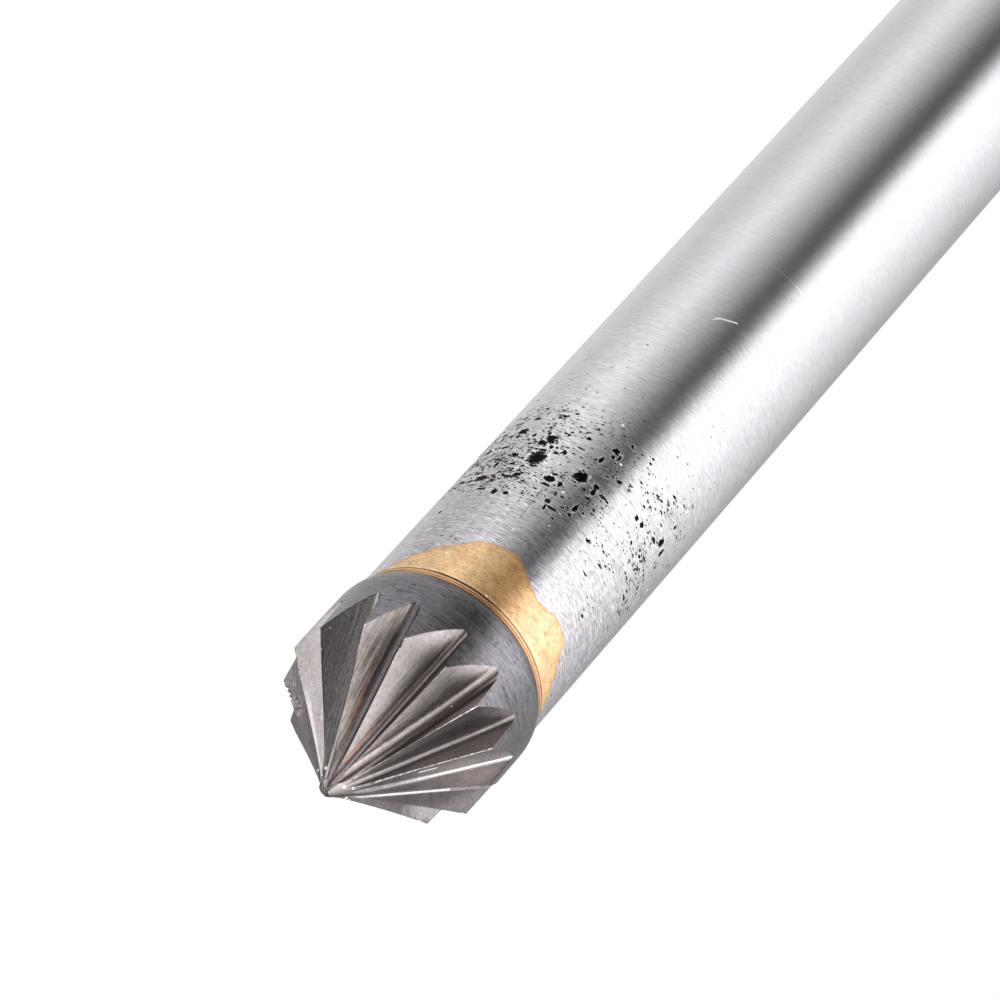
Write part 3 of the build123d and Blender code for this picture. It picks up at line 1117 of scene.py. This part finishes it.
# %% Floor
PALE_GLOW = 1.16
PALE_SHARE = 0.72
MATT = rgba(0.8, 0.8, 0.8)
deselect()
bpy.ops.mesh.primitive_plane_add(size=0.8, location=(0, 0, 0))
floor = bpy.context.object
floor.name = "floor"
floor.visible_glossy = False
floor_paint = bpy.data.materials.new("floor_paint")
floor_paint.use_nodes = True
floor_tree = floor_paint.node_tree
floor_tree.nodes.clear()
ray = Sum(floor_tree, floor_tree.nodes.new("ShaderNodeLightPath").outputs["Is Camera Ray"])
matt = ray.node("ShaderNodeBsdfDiffuse", Color=MATT)
pale = ray.node("ShaderNodeEmission", Strength=PALE_GLOW)
both = ray.node("ShaderNodeMixShader", in0=ray * PALE_SHARE, in1=matt, in2=pale)
both.node("ShaderNodeOutputMaterial", out=None, Surface=both)
floor.data.materials.append(floor_paint)
print("floor", tuple(floor.dimensions))

# %% [markdown]
# ### The room
# Real screens would stand in the way of the camera, so they are painted on the world instead. Two
# ramps give the light that comes from each bearing, one from below and one from the sides, and a soft
# step in the elevation runs from one to the other. A second step goes on to an even ceiling.

# %% Screens round the tool
LOW_SCREENS = [
    (-180, 0.9), (-136, 0.55), (-110, 1.1), (-92, 1.25), (-72, 1.7), (-60, 2.0), (-21, 2.3),
    (-16, 0.10), (8, 0.10), (28, 0.72), (44, 1.2), (66, 1.55), (80, 1.2), (94, 0.85), (112, 1.1),
    (140, 1.4), (180, 0.9),
]
HIGH_SCREENS = [
    (-180, 0.4), (-150, 0.25), (-124, 0.5), (-112, 1.9), (-94, 2.4), (-84, 3.2), (-50, 3.2),
    (-30, 1.8), (-12, 1.8), (-4, 0.13), (42, 0.13), (48, 2.6), (86, 2.9), (92, 0.4), (125, 0.4),
    (180, 0.4),
]
CEILING = 0.9
world = bpy.data.worlds.new("room")
bpy.context.scene.world = world
world.use_nodes = True
room = world.node_tree
room.nodes.clear()
way = Sum(room, room.nodes.new("ShaderNodeTexCoord").outputs["Generated"])
way_x, way_y, way_z = way.separate()
way_bearing = way_x.math("ARCTAN2", way_x, -way_y) * degrees(1)
way_rise = way_z.math("ARCSINE", way_z) * degrees(1)
risen = way_rise.step(-26, -18)
overhead = way_rise.step(35, 55)
low = way_bearing.around(LOW_SCREENS, 3.0)
high = way_bearing.around(HIGH_SCREENS, 3.5)
walls = low * (1 - risen) + high * risen
light = walls * (1 - overhead) + CEILING * overhead
lit = way.node("ShaderNodeBackground", Strength=light)
seen = way.node("ShaderNodeBackground", Strength=1.0)
room_ray = Sum(room, room.nodes.new("ShaderNodeLightPath").outputs["Is Camera Ray"])
room_mix = way.node("ShaderNodeMixShader", in0=room_ray, in1=lit, in2=seen)
way.node("ShaderNodeOutputWorld", out=None, Surface=room_mix)
print("screens", len(LOW_SCREENS), "low and", len(HIGH_SCREENS), "high stops")

# %% [markdown]
# ### The lamp
# One soft box, from the left and above, puts a gentle gradient over the teeth and a shadow on the
# floor. The camera doesn't see it.

# %% Lamp
LAMP_AIM = Vector((0, 0, 0.03))
lamp_data = bpy.data.lights.new("key", "AREA")
lamp_data.shape = "SQUARE"
lamp_data.size = 0.2
lamp_data.energy = 0.2
lamp = bpy.data.objects.new("key", lamp_data)
lamp.location = bearing_vector(-45) * 0.25 + Vector((0, 0, 0.25))
lamp.rotation_mode = "QUATERNION"
lamp.rotation_quaternion = (LAMP_AIM - lamp.location).to_track_quat("-Z", "Y")
lamp.visible_camera = False
bpy.context.scene.collection.objects.link(lamp)
print("lamp at", tuple(lamp.location))
